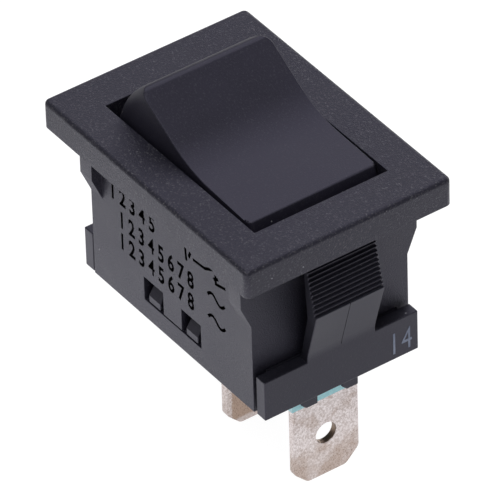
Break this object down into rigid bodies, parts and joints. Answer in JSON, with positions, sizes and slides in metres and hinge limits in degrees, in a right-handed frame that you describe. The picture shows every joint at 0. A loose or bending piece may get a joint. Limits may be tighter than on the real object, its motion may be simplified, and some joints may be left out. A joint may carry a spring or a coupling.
{
  "type": "panel rocker switch",
  "caption": "Small black snap-in rocker switch with a rectangular bezel, toothed spring latches on both ends and flat blade terminals below.",
  "frame": {"origin": "centre of the panel cut-out, in the plane that the underside of the bezel seats on", "axes": "+Z out of the panel towards the rocker; X along the length, +X to the end that is pressed at rest and has the end terminal; Y across"},
  "size_m": [0.021, 0.015, 0.0241],
  "materials": {
    "housing_plastic": "fine-textured charcoal moulding",
    "rocker_plastic": "satin charcoal moulding",
    "base_plastic": "fine-textured charcoal moulding",
    "plunger_plastic": "natural moulding",
    "spring_steel": "drawn wire",
    "contact_copper": "stamped copper alloy",
    "contact_silver": "silver rivet",
    "tinned_brass": "dull tinned sheet",
    "seal_resin": "translucent blue-green resin"
  },
  "bodies": {
    "housing": {"housing": "housing_plastic", "base": "base_plastic", "common_terminal": "tinned_brass", "end_terminal": "tinned_brass", "fixed_contact": "contact_silver", "common_seal": "seal_resin", "end_seal": "seal_resin"},
    "rocker": {"rocker": "rocker_plastic", "plunger_spring": "spring_steel"},
    "plunger": {"plunger": "plunger_plastic"},
    "contact_bridge": {"contact_bridge": "contact_copper", "moving_contact": "contact_silver"}
  },
  "joints": [
    {"name": "rocker_tilt", "type": "hinge", "parent": "housing", "child": "rocker", "pos_m": [0, 0, -0.0008], "axis": [0, -1, 0], "range_deg": [0, 32.2]},
    {"name": "bridge_tilt", "type": "hinge", "parent": "housing", "child": "contact_bridge", "pos_m": [0.0003, 0, -0.00657], "axis": [0, 1, 0], "range_deg": [0, 8]},
    {"name": "plunger_slide", "type": "slide", "parent": "rocker", "child": "plunger", "axis": [-0.2773, 0, -0.9608], "range_m": [-0.0006, 0], "stiffness_N_per_m": 100, "deforming": ["plunger_spring"]}
  ],
  "couplings": [
    {"joint": "bridge_tilt", "follows": "rocker_tilt", "ratio": 0.24845}
  ]
}
